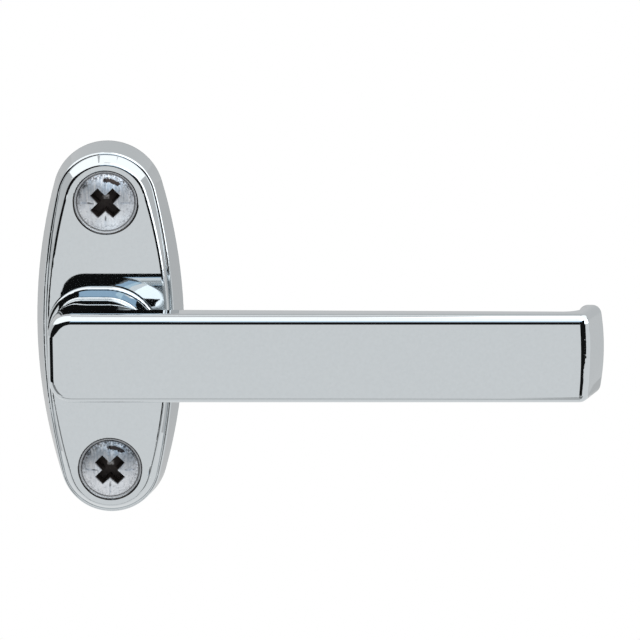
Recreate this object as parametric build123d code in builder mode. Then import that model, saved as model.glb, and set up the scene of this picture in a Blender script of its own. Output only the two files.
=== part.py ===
"""Window handle: oval backplate, lever with a lofted neck, square spindle and its fixings.

Frame: millimetres, +Z up along the plate, -Y out of the wall towards the room, +X along the
lever at rest. The origin is on the spindle axis at the face that lies on the window frame.
Depths are measured out of that face, so a depth d lies at y = -d.
"""

import os
from math import asin, atan2, cos, degrees, radians, sin, tan

from build123d import *

# Backplate
plate_length = 59.8
plate_width = 23.2
plate_end_radius = 8.7
plate_height = 7.0
wall_height = 5.2
wall_lean = 1.33
wall_end_lean = 0.85
wall_edge_radius = 0.4
ledge_width = 0.4
rim_lean = 0.35
rim_end_lean = 1.05
rim_edge_radius = 0.6
wall_thickness = 2.2
web_thickness = 2.8
pocket_length = 30.0
pocket_corner_radius = 3.0

# Fixing screws, countersunk M5 with a raised head and a cross recess
hole_spacing = 43.0
screw_diameter = 5.0
screw_clearance = 0.5
screw_length = 25.0
shank_relief = 0.3
head_diameter = 9.1
head_rim = 0.25
dome_height = 1.25
seat_gap = 0.02
countersink_diameter = 10.1
countersink_edge_radius = 0.3
recess_span = 5.15
recess_wing = 1.85
recess_depth = 2.4
recess_flare = 8.0
tick_inner = 2.3
tick_outer = 3.9
tick_width = 0.3
tick_depth = 0.25

# Spindle and its roll pin
spindle_size = 7.0
spindle_edge = 0.4
spindle_behind = 32.0
socket_gap = 0.05
socket_floor = 5.0
pin_diameter = 2.5
pin_wall = 0.5
pin_slot = 0.5
pin_inset = 0.3
pin_gap = 0.01

# Lever bar and its returned tip
lever_tail = 8.4
lever_height = 14.0
lever_face = 21.6
bar_root = 5.4
bar_end = 3.9
face_length = 74.4
bar_corner_radius = 3.8
bar_edge_radius = 1.4
tip_slant = 23.2
tip_return = 4.4
tip_round = 1.45
tip_lip = 4.7
tip_lip_radius = 1.45
tip_hollow_radius = 2.6
tip_bow = 0.8
crease_bow = 0.25
crease_radius = 1.6

# Neck of the lever, flared at the foot, square towards the tail and round towards the tip
neck_draft = 0.7
neck_land = 0.4
foot_spread = 1.25
foot_tail_spread = 1.1
foot_corner_radius = 7.0
foot_thickness = 0.8
foot_edge_radius = 0.55
foot_fillet = 0.3
root_flare = 3.6
turn_gap = 0.3

# Shank, bush and the stack behind the web
shank_diameter = 12.0
running_gap = 0.05
bush_wall = 1.0
bush_flange_wall = 1.7
bush_flange = 0.8
bush_seat = 0.6
fit_gap = 0.01
flats_across = 10.6
stop_thickness = 1.0
stop_diameter = 15.4
stop_tab_reach = 8.8
stop_tab_angle = 30.0
stop_play_angle = 1.5
turn_each_way = 90.0
stack_gap = 0.05
spring_thickness = 0.4
spring_height = 0.8
spring_diameter = 15.4
clip_thickness = 1.0
clip_band = 1.7
clip_lug_radius = 1.5
clip_eye = 1.2
clip_gap_angle = 40.0
groove_depth = 0.25
groove_gap = 0.04
shank_short = 0.3

# Places that follow from the sizes above
hole_z = hole_spacing / 2
web_back = plate_height - web_thickness
shank_radius = shank_diameter / 2
bush_bore = shank_radius + running_gap
bush_radius = bush_bore + bush_wall
flange_radius = bush_bore + bush_flange_wall
flange_floor = plate_height - bush_seat
flange_top = flange_floor + bush_flange
neck_foot = flange_top + running_gap
bar_back_root = lever_face - bar_root
bar_back_end = lever_face - bar_end
neck_top = bar_back_root - neck_land
socket_size = spindle_size + 2 * socket_gap
socket_end = lever_face - socket_floor
pin_depth = (web_back + flange_top) / 2
stop_front = web_back - 2 * stack_gap
stop_back = stop_front - stop_thickness
spring_front = stop_back - stack_gap
spring_back = spring_front - spring_height
clip_front = spring_back - stack_gap
clip_back = clip_front - clip_thickness


def at_depth(depth):
    """Sketch plane facing the room at this depth, with X across and Z up."""
    return Plane.XZ.offset(depth)


def oval(inset, end_inset):
    """Return the plate's four-arc outline, moved inwards at the sides and the ends, as a flat sketch."""
    half_width = plate_width / 2 - inset
    end_radius = plate_end_radius - end_inset
    end_z = plate_length / 2 - plate_end_radius
    side_radius = (half_width**2 + end_z**2 - end_radius**2) / (2 * (half_width - end_radius))
    side_x = side_radius - half_width
    turn = degrees(atan2(end_z, side_x))
    with BuildSketch() as outline:
        with BuildLine():
            CenterArc((0, end_z), end_radius, turn, 180 - 2 * turn)
            CenterArc((side_x, 0), side_radius, 180 - turn, 2 * turn)
            CenterArc((0, -end_z), end_radius, 180 + turn, 180 - 2 * turn)
            CenterArc((-side_x, 0), side_radius, -turn, 2 * turn)
        make_face()
    return outline.sketch


def neck_outline(spread, tail_spread, corner, reach):
    """Return a section of the neck, wider than the bar by the spreads and drawn out by reach to the tip."""
    half = lever_height / 2 + spread
    tail = lever_tail + tail_spread
    with BuildSketch() as outline:
        with BuildLine():
            EllipticalCenterArc((reach / 2, 0), half + reach / 2, half, -90, arc_size=180)
            Line((reach / 2, half), (corner - tail, half))
            CenterArc((corner - tail, half - corner), corner, 90, 90)
            Line((-tail, half - corner), (-tail, corner - half))
            CenterArc((corner - tail, corner - half), corner, 180, 90)
            Line((corner - tail, -half), (reach / 2, -half))
        make_face()
    return outline.sketch


# Backplate: drafted foot, raised centre, hollow back and seats for bush and screws
rim_foot = wall_lean + ledge_width
rim_end_foot = wall_end_lean + ledge_width
with BuildPart() as backplate:
    with BuildSketch(at_depth(0)):
        add(oval(0, 0))
    with BuildSketch(at_depth(wall_height)):
        add(oval(wall_lean, wall_end_lean))
    loft()
    wall_edges = backplate.edges().group_by(Axis.Y)[0]
    fillet(wall_edges, wall_edge_radius)
    with BuildSketch(at_depth(web_back)):
        add(oval(rim_foot, rim_end_foot))
    extrude(amount=wall_height - web_back)
    with BuildSketch(at_depth(wall_height)):
        add(oval(rim_foot, rim_end_foot))
    with BuildSketch(at_depth(plate_height)):
        add(oval(rim_foot + rim_lean, rim_end_foot + rim_end_lean))
    loft()
    rim_edges = backplate.edges().group_by(Axis.Y)[0]
    fillet(rim_edges, rim_edge_radius)
    with BuildSketch(at_depth(0)):
        add(oval(wall_thickness, wall_thickness))
        RectangleRounded(plate_width, pocket_length, pocket_corner_radius, mode=Mode.INTERSECT)
    extrude(amount=web_back, mode=Mode.SUBTRACT)
    with BuildSketch(at_depth(flange_floor)):
        Circle(flange_radius + fit_gap)
    extrude(amount=bush_seat, mode=Mode.SUBTRACT)
    with BuildSketch(at_depth(web_back)):
        Circle(bush_radius + fit_gap)
    extrude(amount=web_thickness, mode=Mode.SUBTRACT)
    stop_angle = 180 - turn_each_way - stop_tab_angle / 2 - stop_play_angle
    with BuildSketch(at_depth(stop_back)):
        with BuildLine():
            inner = CenterArc((0, 0), stop_diameter / 2 + turn_gap, 180 - stop_angle, 2 * stop_angle)
            outer = CenterArc((0, 0), stop_tab_reach + turn_gap, 180 - stop_angle, 2 * stop_angle)
            Line(inner @ 0, outer @ 0)
            Line(inner @ 1, outer @ 1)
        make_face()
    extrude(amount=web_back - stop_back)
    with Locations(at_depth(plate_height)):
        with Locations((0, hole_z), (0, -hole_z)):
            CounterSinkHole(
                radius=(screw_diameter + screw_clearance) / 2,
                counter_sink_radius=countersink_diameter / 2,
                depth=plate_height,
                counter_sink_angle=90,
            )
    sink_edges = backplate.edges().filter_by(GeomType.CIRCLE)
    sink_edges = [e for e in sink_edges if abs(e.radius - countersink_diameter / 2) < 0.01]
    fillet(sink_edges, countersink_edge_radius)

# Bearing bush: flanged sleeve between the turning shank and the plate
with BuildPart() as bearing_bush:
    with BuildSketch(at_depth(web_back)):
        Circle(bush_radius)
        Circle(bush_bore, mode=Mode.SUBTRACT)
    extrude(amount=flange_top - web_back)
    with BuildSketch(at_depth(flange_floor)):
        Circle(flange_radius)
        Circle(bush_bore, mode=Mode.SUBTRACT)
    extrude(amount=bush_flange)

# Lever: flat bar with a returned tip, lofted neck, shank, socket, flats and clip groove
tip_back = bar_back_end - tip_return
tip_x = face_length + (lever_face - tip_back) * tan(radians(tip_slant))
tip_end = (tip_back, tip_x, tip_bow)
crease_end = (lever_face, face_length, crease_bow)
with BuildPart() as lever:
    with BuildSketch(Plane.XY):
        with BuildLine():
            Polyline(
                (tip_x - tip_lip, -tip_back),
                (tip_x + tip_lip, -tip_back),
                (tip_x + tip_lip, -lever_face),
                (-lever_tail, -lever_face),
                (-lever_tail, -bar_back_root),
                (tip_x - tip_lip, -bar_back_end),
                close=True,
            )
        make_face()
        lip_corners = vertices().group_by(Axis.X)[1].sort_by(Axis.Y)
        fillet(lip_corners[0], tip_hollow_radius)
        lip_corner = vertices().sort_by_distance((tip_x - tip_lip, -tip_back))[0]
        fillet(lip_corner, tip_lip_radius)
    extrude(amount=lever_height / 2, both=True)
    with BuildSketch(at_depth(0)):
        with BuildLine():
            Polyline(
                (-lever_tail, lever_height / 2),
                (tip_x + tip_lip, lever_height / 2),
                (tip_x + tip_lip, -lever_height / 2),
                (-lever_tail, -lever_height / 2),
                close=True,
            )
        make_face()
        fillet(vertices().group_by(Axis.X)[0], bar_corner_radius)
    extrude(amount=lever_face, mode=Mode.INTERSECT)
    for depth, x, bow_rise in (tip_end, crease_end):
        bow_radius = (lever_height**2 / 4 + bow_rise**2) / (2 * bow_rise)
        half_turn = degrees(asin(lever_height / bow_radius))
        with BuildSketch(at_depth(depth)):
            with BuildLine():
                bow = CenterArc((x - bow_radius, 0), bow_radius, -half_turn, 2 * half_turn)
                Polyline(
                    bow @ 1,
                    (tip_x + 2 * tip_lip, lever_height),
                    (tip_x + 2 * tip_lip, -lever_height),
                    bow @ 0,
                )
            make_face()
    loft(mode=Mode.SUBTRACT)
    fillet(lever.faces().sort_by(Axis.Y)[-1].edges().sort_by(Axis.X)[-1], tip_round)
    fillet(lever.faces().sort_by(Axis.Y)[0].edges().sort_by(Axis.X)[-1], crease_radius)
    rails = lever.faces().sort_by(Axis.Z)[-1].edges() + lever.faces().sort_by(Axis.Z)[0].edges()
    rails = [rail for rail in rails if abs(rail.tangent_at(0.5).Y) < 0.99]
    fillet(rails, bar_edge_radius)
    for share in (0, 0.4, 0.7, 1):
        with BuildSketch(at_depth(neck_foot + share * (neck_top - neck_foot))):
            draft = neck_draft * (share - 1)
            add(neck_outline(draft, draft, bar_corner_radius, root_flare * share**2))
    loft()
    with BuildSketch(at_depth(neck_top)):
        add(neck_outline(0, 0, bar_corner_radius, root_flare))
    extrude(amount=neck_land + 2 * bar_edge_radius)
    with BuildSketch(at_depth(neck_foot)):
        add(neck_outline(foot_spread, foot_tail_spread, foot_corner_radius, 0))
    extrude(amount=foot_thickness)
    flat_faces = lever.faces().filter_by(Axis.Y)
    foot_ring = flat_faces.sort_by(lambda face: abs(face.center().Y + neck_foot + foot_thickness))[0]
    fillet(foot_ring.outer_wire().edges(), foot_edge_radius)
    flat_faces = lever.faces().filter_by(Axis.Y)
    foot_ring = flat_faces.sort_by(lambda face: abs(face.center().Y + neck_foot + foot_thickness))[0]
    fillet(foot_ring.inner_wires()[0].edges(), foot_fillet)
    with BuildSketch(at_depth(shank_short)):
        Circle(shank_radius)
    extrude(amount=neck_foot - shank_short)
    with BuildSketch(at_depth(0)):
        with GridLocations(shank_diameter, shank_diameter + flats_across, 1, 2):
            Rectangle(shank_diameter, shank_diameter)
    extrude(amount=web_back, mode=Mode.SUBTRACT)
    with BuildSketch(at_depth(clip_back - groove_gap)):
        Circle(shank_diameter)
        Circle(shank_radius - groove_depth, mode=Mode.SUBTRACT)
    extrude(amount=clip_thickness + 2 * groove_gap, mode=Mode.SUBTRACT)
    with BuildSketch(at_depth(0)):
        Rectangle(socket_size, socket_size)
    extrude(amount=socket_end, mode=Mode.SUBTRACT)
    with BuildSketch(Plane.XY):
        with Locations((0, -pin_depth)):
            Circle(pin_diameter / 2 + pin_gap)
    extrude(amount=shank_diameter, both=True, mode=Mode.SUBTRACT)

# Spindle: square bar seated in the lever's socket
with BuildPart() as spindle:
    with BuildSketch(at_depth(-spindle_behind)):
        RectangleRounded(spindle_size, spindle_size, spindle_edge)
    extrude(amount=spindle_behind + socket_end - socket_gap)
    chamfer(spindle.faces().sort_by(Axis.Y)[-1].edges(), 0.9 * spindle_edge)
    with BuildSketch(Plane.XY):
        with Locations((0, -pin_depth)):
            Circle(pin_diameter / 2 + pin_gap)
    extrude(amount=spindle_size, both=True, mode=Mode.SUBTRACT)

# Roll pin: slotted sleeve through shank and spindle, held in by the bush
with BuildPart() as spindle_pin:
    with BuildSketch(Plane.XY):
        with Locations((0, -pin_depth)):
            Circle(pin_diameter / 2)
            Circle(pin_diameter / 2 - pin_wall, mode=Mode.SUBTRACT)
        with Locations((pin_diameter / 2, -pin_depth)):
            Rectangle(pin_diameter, pin_slot, mode=Mode.SUBTRACT)
    extrude(amount=shank_radius - pin_inset, both=True)

# Stop washer: keyed to the shank's flats, its tab meets the plate's stop at each end of the turn
with BuildPart() as stop_washer:
    with BuildSketch(at_depth(stop_back)):
        Circle(stop_diameter / 2)
        with BuildLine():
            rim = CenterArc((0, 0), stop_tab_reach, -stop_tab_angle / 2, stop_tab_angle)
            Line((0, 0), rim @ 0)
            Line((0, 0), rim @ 1)
        make_face()
        with BuildSketch(mode=Mode.SUBTRACT):
            Circle(shank_radius + running_gap)
            Rectangle(shank_diameter * 2, flats_across + 2 * running_gap, mode=Mode.INTERSECT)
    extrude(amount=stop_thickness)

# Disc spring: coned washer that keeps the lever drawn against the bush
with BuildPart() as disc_spring:
    with BuildSketch(Plane.XY):
        with BuildLine():
            Polyline(
                (shank_radius + turn_gap / 2, -spring_front),
                (shank_radius + turn_gap / 2, -spring_front + spring_thickness),
                (spring_diameter / 2, -spring_back),
                (spring_diameter / 2, -spring_back - spring_thickness),
                close=True,
            )
        make_face()
    revolve(axis=Axis.Y)

# Circlip: open ring with two eyes in the shank's groove
clip_inner = shank_radius - groove_depth + running_gap
clip_outer = clip_inner + clip_band
clip_start = 90 - clip_gap_angle / 2
with BuildPart() as circlip:
    with BuildSketch(at_depth(clip_back)):
        Circle(clip_outer)
        with PolarLocations(clip_outer, 2, clip_start, 2 * clip_gap_angle):
            Circle(clip_lug_radius)
        Circle(clip_inner, mode=Mode.SUBTRACT)
        with BuildLine():
            edge_angle = radians(90 - clip_gap_angle / 4)
            Polyline(
                (0, 0),
                (3 * clip_outer * cos(edge_angle), 3 * clip_outer * sin(edge_angle)),
                (-3 * clip_outer * cos(edge_angle), 3 * clip_outer * sin(edge_angle)),
                close=True,
            )
        make_face(mode=Mode.SUBTRACT)
        with PolarLocations(clip_outer, 2, clip_start, 2 * clip_gap_angle):
            Circle(clip_eye / 2, mode=Mode.SUBTRACT)
    extrude(amount=clip_thickness)

# Fixing screw: cone seat, raised head, cross recess with four tick marks
seat_depth = plate_height - (countersink_diameter - head_diameter) / 2 + seat_gap
rim_depth = seat_depth + head_rim
top_depth = rim_depth + dome_height
screw_radius = screw_diameter / 2
stem_radius = screw_radius - shank_relief
head_radius = head_diameter / 2
dome_radius = (head_radius**2 + dome_height**2) / (2 * dome_height)
tip_depth = rim_depth - screw_length
tick_middle = (tick_inner + tick_outer) / 2
tick_slope = degrees(atan2(tick_middle, dome_radius))
tick_height = top_depth - dome_radius + (dome_radius**2 - tick_middle**2) ** 0.5
with BuildPart() as screw:
    with BuildSketch(Plane.XY):
        with BuildLine():
            crown = RadiusArc((head_radius, -rim_depth), (0, -top_depth), dome_radius)
            Polyline(
                (0, -top_depth),
                (0, -tip_depth),
                (screw_radius - screw_clearance, -tip_depth),
                (screw_radius, -tip_depth - screw_clearance),
                (screw_radius, 0),
                (stem_radius, -shank_relief),
                (stem_radius, -seat_depth + head_radius - stem_radius),
                (head_radius, -seat_depth),
                (head_radius, -rim_depth),
            )
        make_face()
    revolve(axis=Axis.Y)
    with BuildSketch(at_depth(top_depth)):
        with Locations(Rotation(0, 0, 45)):
            Rectangle(recess_span, recess_wing)
            Rectangle(recess_wing, recess_span)
    extrude(amount=-recess_depth, taper=recess_flare, mode=Mode.SUBTRACT)
    with Locations(at_depth(tick_height)):
        with PolarLocations(tick_middle, 4):
            Box(
                tick_outer - tick_inner,
                tick_width,
                2 * tick_depth,
                rotation=(0, tick_slope, 0),
                mode=Mode.SUBTRACT,
            )

# Two like screws
with BuildPart() as fixing_screws:
    with Locations((0, 0, hole_z), (0, 0, -hole_z)):
        add(screw.part)

os.makedirs("parts", exist_ok=True)
for name, piece in (
    ("backplate", backplate),
    ("bearing_bush", bearing_bush),
    ("lever", lever),
    ("spindle", spindle),
    ("spindle_pin", spindle_pin),
    ("stop_washer", stop_washer),
    ("disc_spring", disc_spring),
    ("circlip", circlip),
    ("fixing_screws", fixing_screws),
):
    piece.part.label = name
    export_step(piece.part, "parts/" + name + ".step")
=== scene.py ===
"""Chromed window handle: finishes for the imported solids, a plain pale stage and the camera."""

import math

import bmesh
import bpy
from bpy.props import FloatProperty, FloatVectorProperty, PointerProperty
from mathutils import Matrix, Vector


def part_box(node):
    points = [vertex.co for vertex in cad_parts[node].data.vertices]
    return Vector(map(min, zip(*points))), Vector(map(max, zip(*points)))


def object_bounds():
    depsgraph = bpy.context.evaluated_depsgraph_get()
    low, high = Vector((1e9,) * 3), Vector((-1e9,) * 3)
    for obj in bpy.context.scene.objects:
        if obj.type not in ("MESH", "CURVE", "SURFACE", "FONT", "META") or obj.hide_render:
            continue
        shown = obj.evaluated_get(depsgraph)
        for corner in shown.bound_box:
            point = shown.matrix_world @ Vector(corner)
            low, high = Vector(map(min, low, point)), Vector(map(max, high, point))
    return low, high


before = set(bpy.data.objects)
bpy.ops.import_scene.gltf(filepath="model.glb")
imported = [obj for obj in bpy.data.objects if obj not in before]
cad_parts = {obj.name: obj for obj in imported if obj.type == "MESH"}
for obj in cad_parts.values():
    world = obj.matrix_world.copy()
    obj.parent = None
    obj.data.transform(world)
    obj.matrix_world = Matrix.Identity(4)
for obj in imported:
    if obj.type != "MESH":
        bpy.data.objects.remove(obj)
CAD_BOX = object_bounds()

bl_info = {
    "name": "Window Handle",
    "version": (1, 0, 0),
    "blender": (4, 5, 0),
    "location": "View3D > Sidebar > Handle",
    "description": "Finishes a chromed window handle and sets its stage and camera",
    "category": "Object",
}

MM = 0.001


class Signal:
    """A shader socket that adds Math nodes where it stands in an expression."""

    def __init__(self, shading, socket):
        self.shading = shading
        self.socket = socket

    def math(self, operation, *terms):
        """One Math node with this signal first and the terms after it."""
        return self.shading.math(operation, self, *terms)

    def __add__(self, other):
        return self.shading.math("ADD", self, other)

    def __radd__(self, other):
        return self.shading.math("ADD", other, self)

    def __sub__(self, other):
        return self.shading.math("SUBTRACT", self, other)

    def __rsub__(self, other):
        return self.shading.math("SUBTRACT", other, self)

    def __mul__(self, other):
        return self.shading.math("MULTIPLY", self, other)

    def __rmul__(self, other):
        return self.shading.math("MULTIPLY", other, self)

    def __truediv__(self, other):
        return self.shading.math("DIVIDE", self, other)

    def __pow__(self, other):
        return self.shading.math("POWER", self, other)

    def __abs__(self):
        return self.shading.math("ABSOLUTE", self)

    def step(self, low, high):
        """0 below low, 1 above high, smooth between them."""
        return self.shading.signal(
            "ShaderNodeMapRange",
            {"interpolation_type": "SMOOTHSTEP"},
            {"Value": self, "From Min": low, "From Max": high},
        )

    def below(self, low, high):
        """1 below low, 0 above high, smooth between them."""
        return 1.0 - self.step(low, high)

    def within(self, low, high, fade):
        """1 from low to high, and 0 where it is further outside them than fade."""
        return self.step(low - fade, low) * self.below(high, high + fade)


class Shading:
    """The node tree of one material or of the world, made node by node."""

    def __init__(self, owner):
        owner.use_nodes = True
        self.tree = owner.node_tree
        self.tree.nodes.clear()

    def node(self, kind, settings=None, sockets=None):
        """A node of this type: its settings first, then the values or links of its sockets."""
        made = self.tree.nodes.new(kind)
        for name, value in (settings or {}).items():
            setattr(made, name, value)
        for name, value in (sockets or {}).items():
            if isinstance(value, Signal):
                self.tree.links.new(value.socket, made.inputs[name])
            else:
                made.inputs[name].default_value = value
        return made

    def signal(self, kind, settings=None, sockets=None, output=0):
        """One output of a new node, ready for use in an expression."""
        return Signal(self, self.node(kind, settings, sockets).outputs[output])

    def math(self, operation, *terms):
        """A Math node on values."""
        return self.signal("ShaderNodeMath", {"operation": operation}, dict(enumerate(terms)))

    def mix(self, factor, low, high):
        """A colour between low and high."""
        return self.signal("ShaderNodeMix", {"data_type": "RGBA"}, {0: factor, 6: low, 7: high}, 2)

    def noise(self, place, scale, detail=2.0, roughness=0.5):
        """Noise from 0 to 1 at this place."""
        return self.signal(
            "ShaderNodeTexNoise",
            {},
            {"Vector": place, "Scale": scale, "Detail": detail, "Roughness": roughness},
        )

    def place(self):
        """The point on the piece, in metres in the frame at rest."""
        return self.signal("ShaderNodeTexCoord", output="Object")

    def stretched(self, place, scale):
        """The place with each axis scaled by its own number."""
        return self.signal("ShaderNodeVectorMath", {"operation": "MULTIPLY"}, {0: place, 1: scale})

    def axes(self, vector):
        """The three numbers of a vector."""
        split = self.node("ShaderNodeSeparateXYZ", sockets={0: vector})
        return [Signal(self, socket) for socket in split.outputs]

    def facing(self):
        """The three numbers of the direction that the surface faces, in the frame."""
        return self.axes(self.signal("ShaderNodeNewGeometry", output="Normal"))

    def ray(self, kind):
        """1 for a ray of this kind, 0 for any other."""
        return self.signal("ShaderNodeLightPath", output=kind)

    def bump(self, height, distance):
        """A normal from a height of 0 to 1, over this distance in metres."""
        return self.signal("ShaderNodeBump", {}, {"Distance": distance, "Height": height})

    def surface(self, **sockets):
        """A Principled surface on the output. Socket names take an underscore for a space."""
        named = {name.replace("_", " "): value for name, value in sockets.items()}
        self.output(self.signal("ShaderNodeBsdfPrincipled", {}, named))

    def output(self, shader, kind="ShaderNodeOutputMaterial"):
        """The tree's output, showing this shader."""
        self.node(kind, sockets={"Surface": shader})


def colour_property(name, description, default):
    """A colour that a user can change, where 1 is white."""
    return FloatVectorProperty(name=name, description=description, subtype="COLOR", default=default)


def length_property(name, description, default):
    """A length in metres that a user can change."""
    return FloatProperty(name=name, description=description, subtype="DISTANCE", default=default)


class HandleFinish(bpy.types.PropertyGroup):
    """Colours, polish and fine sizes of the pieces."""

    chrome: colour_property("Chrome", "Chrome where it mirrors white", (0.55, 0.585, 0.605))
    chrome_haze: FloatProperty(
        name="Chrome haze",
        description="Roughness of the polished chrome",
        subtype="FACTOR",
        default=0.035,
    )
    cast: colour_property("Casting", "Unpolished zinc at the back of the plate", (0.36, 0.37, 0.38))
    countersink: length_property("Countersink", "Radius of the countersinks' mouths", 5.05 * MM)
    plating: colour_property("Screw plating", "Bright zinc on the screws", (0.93, 0.96, 1.0))
    # Painted shade: the blue-grey laid on the upper side of each screw head
    shaded_zinc: colour_property("Shaded zinc", "Blue-grey zinc on the heads' upper side", (0.42, 0.51, 0.61))
    worn_zinc: colour_property("Worn zinc", "Scuffs and specks on the screws", (0.22, 0.23, 0.25))
    # Painted shade: the near-black colour of the screws' recesses, of the line at each countersink's mouth
    # and of the dark marks on the heads
    painted_shade: colour_property("Shade", "Darkening in the cross recess and on the heads", (0.032, 0.022, 0.018))
    # Painted highlight: the glint in each screw's recess
    recess_glint: colour_property("Glinting metal", "Glint inside the cross recess", (0.62, 0.62, 0.62))
    crown: length_property("Crown", "Radius of the screw heads' crowns", 8.9 * MM)
    # The recess's painted shade reaches this far from the axis
    recess_reach: length_property("Recess reach", "Reach of the recess's grime from the axis", 2.75 * MM)
    thread_pitch: length_property("Thread pitch", "Rise of the screw thread in one turn", 0.8 * MM)
    steel: colour_property("Drawn steel", "Zinc-plated spindle and washer", (0.46, 0.47, 0.48))
    steel_bloom: colour_property("Steel bloom", "Yellowed plating on the spindle", (0.52, 0.50, 0.42))
    steel_lines: colour_property("Drawing lines", "Dark lines along the spindle", (0.22, 0.22, 0.23))
    rubbed_steel: colour_property("Rubbed steel", "Bright steel on the washer's tab", (0.75, 0.75, 0.74))
    phosphate: colour_property("Phosphate", "Spring steel of clip, spring and pin", (0.085, 0.085, 0.09))
    rubbed_phosphate: colour_property("Rubbed phosphate", "Steel where it is rubbed", (0.34, 0.34, 0.35))
    acetal: colour_property("Acetal", "Natural plastic of the bush", (0.80, 0.78, 0.72))
    run_acetal: colour_property("Run-in acetal", "Bush where the shank has run", (0.42, 0.41, 0.39))


class HandleStage(bpy.types.PropertyGroup):
    """Camera, floor and the cards around the handle."""

    elevation: FloatProperty(
        name="Elevation",
        description="Camera above the horizon",
        subtype="ANGLE",
        default=math.radians(14.0),
    )
    distance: length_property("Distance", "Camera to the plate's face", 626 * MM)
    sidestep: length_property("Sidestep", "Camera moved right with its lens shifted back", 10 * MM)
    lens: FloatProperty(name="Lens", description="Focal length", unit="CAMERA", default=225.0)
    aim: FloatVectorProperty(
        name="Aim",
        description="Middle of the picture, to the right of and above the spindle axis",
        subtype="XYZ",
        size=2,
        default=(33.2 * MM, 2.62 * MM),
    )
    floor_drop: length_property("Floor drop", "Floor below the plate", 0.25)
    floor_radius: length_property("Floor radius", "Radius of the round floor", 2.5)
    light: FloatProperty(name="Light", description="Strength of the white surroundings", default=0.75)
    reach: length_property("Reach", "Distance of the cards", 0.7)
    flag: colour_property("Flag", "Cards that give the black lines", (0.01, 0.01, 0.01))
    dim: colour_property("Dim", "Dark grey cards", (0.3, 0.3, 0.3))
    dusk: colour_property("Dusk", "Grey card behind, for the plate's walls", (0.64, 0.64, 0.64))
    evening: colour_property("Evening", "Grey card above the dusk", (0.69, 0.69, 0.69))
    pale: colour_property("Pale", "Pale grey cards beside the dusk", (0.78, 0.78, 0.78))
    blue: colour_property("Blue", "Blue cards in front", (0.69, 0.97, 1.25))
    sky: colour_property("Sky", "Pale blue card over the blue ones", (1.1, 1.4, 1.6))
    soft: colour_property("Soft", "White cards above and behind", (1.7, 1.7, 1.7))
    bright: colour_property("Bright", "Brighter white cards on the right", (2.75, 2.8, 2.85))


def linear(colour):
    """A colour property as the four numbers that a colour socket takes."""
    return (*colour, 1.0)


def blank(name):
    """A new material, its shading and the place on the piece."""
    material = bpy.data.materials.new(name)
    shading = Shading(material)
    return material, shading, shading.place()


def wear(node, material):
    """Give a CAD node's object this material in every slot."""
    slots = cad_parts[node].material_slots
    if not slots:
        raise RuntimeError("No material slot on " + node)
    for slot in slots:
        slot.material = material


def radius(x, z):
    """Distance from an axis through the wall, where x and z are measured from it."""
    return (x * x + z * z) ** 0.5


def around_screw(x, z):
    """Height above the nearer screw's axis, and the distance from that axis."""
    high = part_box("fixing_screws")[1]
    upper_axis = high[2] - high[0]
    side = 2.0 * z.math("GREATER_THAN", 0.0) - 1.0
    across = z - upper_axis * side
    return across, radius(x, across)


def mottled(shading, place, colour, scale, depth):
    """A colour that darkens and lightens by depth in fine grains."""
    grain = shading.noise(place, scale, 2.0)
    dark = [(1.0 - depth) * channel for channel in colour]
    light = [(1.0 + depth) * channel for channel in colour]
    return shading.mix(grain, linear(dark), linear(light))


def chromed(shading, place, finish):
    """Colour, roughness and faint waves of chrome, with fine wipe marks along the piece."""
    colour = mottled(shading, place, finish.chrome, 2200.0, 0.035)
    cloud = shading.noise(place, 90.0, 3.0)
    wipe = shading.noise(shading.stretched(place, (60.0, 900.0, 900.0)), 1.0, 2.0)
    waves = shading.noise(place, 130.0, 1.0)
    return colour, finish.chrome_haze * (0.45 + 0.6 * cloud + 0.5 * wipe), waves


class HANDLE_OT_lever(bpy.types.Operator):
    """Polished chrome on the lever, a little hazier behind the bar"""

    bl_idname = "handle.lever"
    bl_label = "Lever"

    def execute(self, context):
        finish = context.scene.handle_finish
        material, shading, place = blank("chrome_lever")
        x, y = shading.axes(place)[:2]
        colour, haze, waves = chromed(shading, place, finish)
        behind = shading.facing()[1].step(0.5, 0.95)

        # The neck mirrors as a slightly hollow one does, more so the nearer it is to the bar
        hollow_start = 11.0 * MM
        hollow_depth = 4.8 * MM
        outwards = (-1.0 * y - hollow_start).math("MAXIMUM", 0.0).math("MINIMUM", hollow_depth) / MM
        hollow = outwards * outwards * x.below(20 * MM, 60 * MM)
        shading.surface(
            Base_Color=colour,
            Metallic=1.0,
            Roughness=haze + 0.16 * behind,
            Normal=shading.bump(0.002 * waves - 0.0085 * hollow, MM),
        )
        wear("lever", material)
        return {"FINISHED"}


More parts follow.
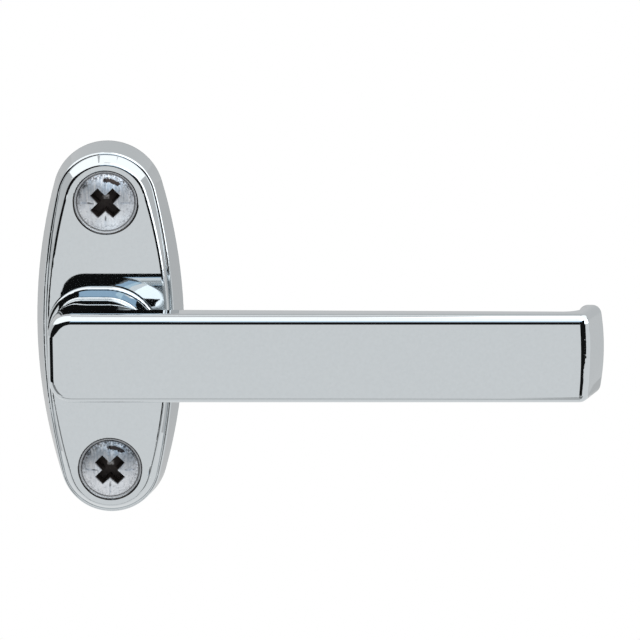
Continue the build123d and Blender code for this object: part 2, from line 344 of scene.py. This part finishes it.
class HANDLE_OT_backplate(bpy.types.Operator):
    """Polished chrome on the backplate's room side, bare casting behind"""

    bl_idname = "handle.backplate"
    bl_label = "Backplate"

    def execute(self, context):
        finish = context.scene.handle_finish
        material, shading, place = blank("chrome_plate")
        x, y, z = shading.axes(place)
        at_wall = y.step(-0.25 * MM, -0.05 * MM)
        rear = shading.facing()[1].step(0.2, 0.6).math("MAXIMUM", at_wall)
        pores = shading.noise(place, 1500.0, 4.0, 0.7)

        # Painted shade: a thin dark line at each countersink's mouth, in the gap around the screw head,
        # and a dull cone inside it
        from_axis = around_screw(x, z)[1]
        mouth = finish.countersink
        dark_by_rim = from_axis.within(mouth - 0.11 * MM, mouth - 0.02 * MM, 0.06 * MM) * (1.0 - rear)
        dull = from_axis.below(mouth - 0.25 * MM, mouth - 0.15 * MM) * (1.0 - rear)

        colour, haze, waves = chromed(shading, place, finish)
        colour = shading.mix(0.6 * dull, colour, linear(finish.plating))
        colour = shading.mix(0.95 * dark_by_rim, colour, linear(finish.painted_shade))
        cast = mottled(shading, place, finish.cast, 1300.0, 0.25)
        shading.surface(
            Base_Color=shading.mix(rear, colour, cast),
            Metallic=1.0 - 0.75 * dull,
            Roughness=haze + 0.5 * dull + 0.3 * dark_by_rim + rear * (0.34 + 0.2 * pores),
            Normal=shading.bump(0.02 * waves + 0.3 * rear * pores, 0.1 * MM),
        )
        wear("backplate", material)
        return {"FINISHED"}


class HANDLE_OT_fixing_screws(bpy.types.Operator):
    """Bright zinc on the screws, with turned rings, scuffs, a recess painted dark as shade with a painted
    glint, and a thread
    """

    bl_idname = "handle.fixing_screws"
    bl_label = "Fixing screws"

    def execute(self, context):
        finish = context.scene.handle_finish
        material, shading, place = blank("bright_screw")
        x, y, z = shading.axes(place)
        across, from_axis = around_screw(x, z)
        turn = across.math("ARCTAN2", x) / (2.0 * math.pi)
        low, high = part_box("fixing_screws")
        head_top = -low[1]
        head_radius = high[0]
        head_bottom = -5.0 * MM
        in_head = y.below(head_bottom - 0.4 * MM, head_bottom)

        # The recess, painted dark as shade: what lies under the crown, whose very top the recess has cut
        # away
        cut_away = 0.06 * MM
        sunk = head_top + cut_away - from_axis * from_axis / (2.0 * finish.crown) + y
        in_reach = from_axis.below(finish.recess_reach, finish.recess_reach + 0.25 * MM)
        painted_shade = sunk.step(0.12 * MM, 0.5 * MM) * in_reach * in_head

        # Fine relief: the thread, turned rings and the grain of the wear
        thread = abs((y / finish.thread_pitch + turn).math("FRACT") - 0.5) * 2.0
        threaded = y.step(-0.1 * MM, 0.1 * MM) * thread
        rings = (from_axis / (0.16 * MM)).math("SINE") * 0.5 + 0.5
        scuffs = shading.noise(shading.stretched(place, (2600.0, 300.0, 500.0)), 1.0, 3.0, 0.7)
        blotches = shading.noise(place, 900.0, 3.0, 0.6)
        specks = shading.noise(place, 2600.0, 3.0, 0.75)

        # Marks on the head: a ragged patch of painted dark reflection high on the right, dark specks
        # inside the rim that gather on the upper side, a dark edge of painted shade at the rim and two
        # ticks
        ragged = from_axis + 0.9 * MM * (specks - 0.5)
        ragged_turn = turn + 0.06 * (specks - 0.5)
        # Painted reflection: a ragged dark patch high on the right of each head
        dark_reflection = ragged.within(3.3 * MM, 3.85 * MM, 0.1 * MM) * ragged_turn.within(0.15, 0.26, 0.01)
        from_rim = head_radius - from_axis
        mostly_above = 0.35 + 0.65 * across.step(0.0, 3.5 * MM)
        dark_by_rim = from_rim.below(0.25 * MM, 1.05 * MM) * specks.step(0.42, 0.6) * mostly_above
        # Painted shade: a dark edge just inside each head's rim
        edge = from_rim.below(0.07 * MM, 0.17 * MM)
        beside_line = abs(x).math("MINIMUM", abs(across))
        left_or_below = (x + across).below(0.0, MM)
        ticks = beside_line.below(0.06 * MM, 0.15 * MM) * left_or_below
        ticks = ticks * ragged.within(2.1 * MM, 2.6 * MM, 0.3 * MM)
        marks = dark_reflection.math("MAXIMUM", 0.7 * ticks).math("MAXIMUM", 0.8 * edge)
        marks = marks.math("MAXIMUM", 0.9 * dark_by_rim) * in_head

        # Painted shade: the zinc is painted blue-grey above on each head, in patches after the scuffs, and
        # left bright low down
        upper_side = across.step(-2.0 * MM, 3.5 * MM)
        greyed = (0.2 + 0.6 * upper_side) * scuffs.step(0.3, 0.6)
        worn = 0.5 * scuffs.step(0.62, 0.72) + 0.4 * in_head * specks.step(0.5, 0.7)
        plating = mottled(shading, place, finish.plating, 1100.0, 0.10)
        plating = shading.mix(greyed, plating, linear(finish.shaded_zinc))
        plating = shading.mix(worn, plating, linear(finish.worn_zinc))
        plating = shading.mix(0.98 * marks, plating, linear(finish.painted_shade))
        # Painted highlight: a small glint just above the recess's middle
        glint = abs(x).below(0.3 * MM, 0.65 * MM) * across.within(0.45 * MM, 0.85 * MM, 0.25 * MM)
        glint = glint * blotches.step(0.35, 0.55)
        recess = shading.mix(glint, linear(finish.painted_shade), linear(finish.recess_glint))

        height = 0.012 * rings + 0.08 * scuffs + 0.05 * blotches + 0.9 * threaded
        shading.surface(
            Base_Color=shading.mix(painted_shade, plating, recess),
            Metallic=0.9 - in_head * (0.65 - 0.35 * upper_side) - 0.15 * painted_shade + 0.5 * marks,
            Roughness=0.24 + 0.14 * blotches + 0.3 * painted_shade,
            Normal=shading.bump(height, 0.35 * MM),
        )
        wear("fixing_screws", material)
        return {"FINISHED"}


class HANDLE_OT_spindle(bpy.types.Operator):
    """Drawn and zinc-plated steel on the spindle, lined along its length"""

    bl_idname = "handle.spindle"
    bl_label = "Spindle"

    def execute(self, context):
        finish = context.scene.handle_finish
        material, shading, place = blank("drawn_spindle")
        lines = shading.noise(shading.stretched(place, (4200.0, 45.0, 4200.0)), 1.0, 3.0, 0.6)
        bloom = shading.noise(place, 140.0, 3.0)
        plating = shading.mix(bloom, linear(finish.steel), linear(finish.steel_bloom))
        shading.surface(
            Base_Color=shading.mix(0.35 * lines, plating, linear(finish.steel_lines)),
            Metallic=1.0,
            Roughness=0.22 + 0.2 * lines,
            Normal=shading.bump(lines, 0.012 * MM),
        )
        wear("spindle", material)
        return {"FINISHED"}


class HANDLE_OT_stop_washer(bpy.types.Operator):
    """Stamped and plated steel on the stop washer, brighter where its tab has rubbed"""

    bl_idname = "handle.stop_washer"
    bl_label = "Stop washer"

    def execute(self, context):
        finish = context.scene.handle_finish
        material, shading, place = blank("stamped_washer")
        x, y, z = shading.axes(place)
        tab_root = 7.2 * MM
        tab_worn = 8.4 * MM
        rubbed = radius(x, z).step(tab_root, tab_worn)
        grain = shading.noise(place, 1600.0, 3.0)
        drag = shading.noise(shading.stretched(place, (250.0, 3000.0, 3000.0)), 1.0, 2.0)
        plating = mottled(shading, place, finish.steel, 900.0, 0.2)
        shading.surface(
            Base_Color=shading.mix(0.6 * rubbed * drag, plating, linear(finish.rubbed_steel)),
            Metallic=1.0,
            Roughness=0.3 + 0.16 * grain - 0.1 * rubbed,
            Normal=shading.bump(grain, 0.01 * MM),
        )
        wear("stop_washer", material)
        return {"FINISHED"}


class HANDLE_OT_springs(bpy.types.Operator):
    """Phosphated spring steel on the disc spring, the circlip and the roll pin"""

    bl_idname = "handle.springs"
    bl_label = "Disc spring, circlip and pin"

    def execute(self, context):
        finish = context.scene.handle_finish
        for node, crystal_scale in (("disc_spring", 1500.0), ("circlip", 1900.0), ("spindle_pin", 2500.0)):
            material, shading, place = blank("phosphated_" + node)
            crystals = shading.noise(place, crystal_scale, 4.0, 0.65)
            rubs = shading.noise(place, 260.0, 2.0).step(0.6, 0.75)
            coating = mottled(shading, place, finish.phosphate, 700.0, 0.3)
            shading.surface(
                Base_Color=shading.mix(0.5 * rubs, coating, linear(finish.rubbed_phosphate)),
                Metallic=0.85,
                Roughness=0.5 + 0.2 * crystals - 0.22 * rubs,
                Normal=shading.bump(crystals, 0.008 * MM),
            )
            wear(node, material)
        return {"FINISHED"}


class HANDLE_OT_bearing_bush(bpy.types.Operator):
    """Natural acetal on the bush, greyed where the shank has run"""

    bl_idname = "handle.bearing_bush"
    bl_label = "Bearing bush"

    def execute(self, context):
        finish = context.scene.handle_finish
        material, shading, place = blank("natural_acetal")
        x, y, z = shading.axes(place)
        bore = 6.05 * MM
        run_in = radius(x, z).below(bore, bore + 0.35 * MM)
        flow = shading.noise(shading.stretched(place, (200.0, 600.0, 200.0)), 1.0, 3.0)
        plastic = mottled(shading, place, finish.acetal, 500.0, 0.04)
        shading.surface(
            Base_Color=shading.mix(0.5 * run_in, plastic, linear(finish.run_acetal)),
            Roughness=0.4 + 0.15 * flow,
            IOR=1.48,
            Subsurface_Weight=0.15,
            Subsurface_Radius=(1.2 * MM, 1.0 * MM, 0.8 * MM),
            Subsurface_Scale=1.0,
            Normal=shading.bump(flow, 0.01 * MM),
        )
        wear("bearing_bush", material)
        return {"FINISHED"}


def between(start, end, share):
    """The number at this share of the way from start to end."""
    return start + (end - start) * share


def staged(name, shape, material):
    """An object of the stage, made from a finished bmesh."""
    mesh = bpy.data.meshes.new(name)
    shape.to_mesh(mesh)
    shape.free()
    mesh.materials.append(material)
    made = bpy.data.objects.new(name, mesh)
    bpy.context.scene.collection.objects.link(made)
    return made


def card(name, azimuths, elevations, reach, material, upper_azimuths=None):
    """A curved card around the handle between two azimuths and two elevations in degrees.

    Azimuth 0 is in front of the handle and 90 on its right. A tapered card has other azimuths
    along its upper edge. The card shows in the metal only.
    """
    upper_azimuths = upper_azimuths or azimuths
    shape = bmesh.new()
    across = 24
    up = 12
    rows = []
    for j in range(up + 1):
        elevation = math.radians(between(*elevations, j / up))
        start = between(azimuths[0], upper_azimuths[0], j / up)
        end = between(azimuths[1], upper_azimuths[1], j / up)
        row = []
        for i in range(across + 1):
            azimuth = math.radians(between(start, end, i / across))
            spot = Vector((math.sin(azimuth), -math.cos(azimuth), 0.0)) * math.cos(elevation)
            row.append(shape.verts.new((spot + Vector((0, 0, math.sin(elevation)))) * reach))
        rows.append(row)
    for lower, upper in zip(rows, rows[1:]):
        for i in range(across):
            shape.faces.new((lower[i], lower[i + 1], upper[i + 1], upper[i]))
    made = staged(name, shape, material)
    made.visible_camera = False
    made.visible_diffuse = False
    made.visible_shadow = False
    made.visible_transmission = False


def emission(shading, colour):
    """An even light of this colour."""
    return shading.signal("ShaderNodeEmission", {}, {"Color": linear(colour), "Strength": 1.0})


def glow(name, colour):
    """An even card material of this colour."""
    material = bpy.data.materials.new(name)
    shading = Shading(material)
    shading.output(emission(shading, colour))
    return material


def add_surroundings(scene, stage):
    """A world that the camera sees white and that lights the handle at a plain level."""
    scene.world = bpy.data.worlds.new("studio")
    shading = Shading(scene.world)
    strength = stage.light + (1.0 - stage.light) * shading.ray("Is Camera Ray")
    light = shading.signal("ShaderNodeBackground", {}, {"Color": (1, 1, 1, 1), "Strength": strength})
    shading.output(light, "ShaderNodeOutputWorld")


def add_floor(stage):
    """A round white floor below the handle."""
    material = bpy.data.materials.new("floor_white")
    shading = Shading(material)
    shown = shading.ray("Is Camera Ray").math("MAXIMUM", shading.ray("Is Glossy Ray"))
    matte = shading.signal("ShaderNodeBsdfDiffuse", {}, {"Color": (0.9, 0.9, 0.9, 1.0)})
    plain = emission(shading, (1.0, 1.0, 1.0))
    shading.output(shading.signal("ShaderNodeMixShader", {}, {0: shown, 1: matte, 2: plain}))
    shape = bmesh.new()
    bmesh.ops.create_circle(shape, cap_ends=True, segments=96, radius=stage.floor_radius)
    floor = staged("floor", shape, material)
    floor.location.z = CAD_BOX[0][2] - stage.floor_drop


def add_cards(stage):
    """The cards that the chrome mirrors."""
    far = stage.reach
    near = 0.9 * stage.reach
    low = 0.35 * stage.reach

    # Flags, for the black lines along the edges and the dark side of the neck
    flag = glow("flag_black", stage.flag)
    dim = glow("dim_grey", stage.dim)
    card("flag_front", (-75, -2.2), (-9, 20), far, flag)
    card("flag_front_middle", (-2.2, 10), (-8, 14), far, flag)
    card("flag_front_dim", (-2.2, 10), (14, 20), far, dim)
    card("flag_front_right", (10, 30), (-9, 20), far, flag)
    card("flag_left", (-85, -38), (-21, -8), near, flag)
    card("flag_left_high", (-75, -9), (20, 30), far, flag)
    card("flag_left_low", (-60, -30), (-48, -21), low, dim)
    card("flag_right", (15, 40), (-21, -14.1), near, flag)
    card("flag_crease", (15, 40), (-14.1, -12), near, flag, (15, 66))
    card("flag_right_top", (15, 66), (-12, -8), near, flag)
    card("flag_right_high", (30, 58), (-8, 30), far, flag)
    card("flag_right_low", (25, 58), (-48, -21), low, dim)
    card("flag_low", (-60, 60), (-62, -56), low, dim)

    # Blue cards, for the band on the neck's foot
    blue = glow("soft_blue", stage.blue)
    sky = glow("pale_blue", stage.sky)
    card("light_blue", (-9, 10), (20, 26.5), far, blue)
    card("light_blue_right", (10, 30), (20, 30), far, blue)
    card("light_front", (-9, 10), (26.5, 30), far, sky)

    # White cards, for the light edges
    soft = glow("soft_white", stage.soft)
    bright = glow("bright_white", stage.bright)
    card("light_front_right", (58, 105), (-5, 30), far, bright)
    card("light_top", (-90, 20), (30, 84), far, soft)
    card("light_top_right", (20, 90), (30, 84), far, bright)
    card("light_back", (134, 226), (69, 77), far, soft)
    card("light_back_right", (90, 140), (26, 84), far, soft)
    card("light_back_left", (220, 270), (26, 84), far, soft)

    # Grey cards behind, for the plate's sloping walls
    dusk = glow("dusk_grey", stage.dusk)
    evening = glow("evening_grey", stage.evening)
    pale = glow("pale_grey", stage.pale)
    card("dusk_back", (136, 219), (-40, 0), far, dusk)
    card("dusk_upper", (136, 219), (0, 12), far, evening)
    card("dusk_right", (118, 136), (-40, 0), far, pale)
    card("dusk_left", (219, 242), (-40, 0), far, pale)


def add_camera(scene, stage):
    """A camera in front of and above the handle, stepped aside with its lens shifted back."""
    data = bpy.data.cameras.new("camera")
    data.lens = stage.lens
    data.shift_x = -stage.sidestep / stage.distance * stage.lens / data.sensor_width
    turn = Matrix.Rotation(math.pi / 2 - stage.elevation, 4, "X")
    right, up, back = (turn.col[axis].xyz for axis in range(3))
    plate_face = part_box("backplate")[0][1]
    target = Vector((0, plate_face, 0)) + stage.aim[0] * right + stage.aim[1] * up
    spot = target + stage.distance * back + stage.sidestep * right
    camera = bpy.data.objects.new("camera", data)
    camera.matrix_world = Matrix.Translation(spot) @ turn
    scene.collection.objects.link(camera)
    scene.camera = camera


class HANDLE_OT_stage(bpy.types.Operator):
    """Pale floor, soft surroundings, the cards and the camera"""

    bl_idname = "handle.stage"
    bl_label = "Stage"

    def execute(self, context):
        scene = context.scene
        stage = scene.handle_stage
        scene.view_settings.view_transform = "Standard"
        add_surroundings(scene, stage)
        add_floor(stage)
        add_cards(stage)
        add_camera(scene, stage)
        return {"FINISHED"}


class HANDLE_PT_panel(bpy.types.Panel):
    """The handle's pieces and stage"""

    bl_idname = "HANDLE_PT_panel"
    bl_label = "Window Handle"
    bl_space_type = "VIEW_3D"
    bl_region_type = "UI"
    bl_category = "Handle"

    def draw(self, context):
        for group in (context.scene.handle_finish, context.scene.handle_stage):
            for name in group.__annotations__:
                self.layout.prop(group, name)
        for operator in OPERATORS:
            self.layout.operator(operator.bl_idname)


OPERATORS = (
    HANDLE_OT_lever,
    HANDLE_OT_backplate,
    HANDLE_OT_fixing_screws,
    HANDLE_OT_spindle,
    HANDLE_OT_stop_washer,
    HANDLE_OT_springs,
    HANDLE_OT_bearing_bush,
    HANDLE_OT_stage,
)
CLASSES = (HandleFinish, HandleStage, *OPERATORS, HANDLE_PT_panel)


def register():
    for cls in CLASSES:
        bpy.utils.register_class(cls)
    bpy.types.Scene.handle_finish = PointerProperty(type=HandleFinish)
    bpy.types.Scene.handle_stage = PointerProperty(type=HandleStage)


def unregister():
    del bpy.types.Scene.handle_stage
    del bpy.types.Scene.handle_finish
    for cls in reversed(CLASSES):
        bpy.utils.unregister_class(cls)


def main():
    register()
    bpy.ops.handle.lever()
    bpy.ops.handle.backplate()
    bpy.ops.handle.fixing_screws()
    bpy.ops.handle.spindle()
    bpy.ops.handle.stop_washer()
    bpy.ops.handle.springs()
    bpy.ops.handle.bearing_bush()
    bpy.ops.handle.stage()


if __name__ == "__main__":
    main()
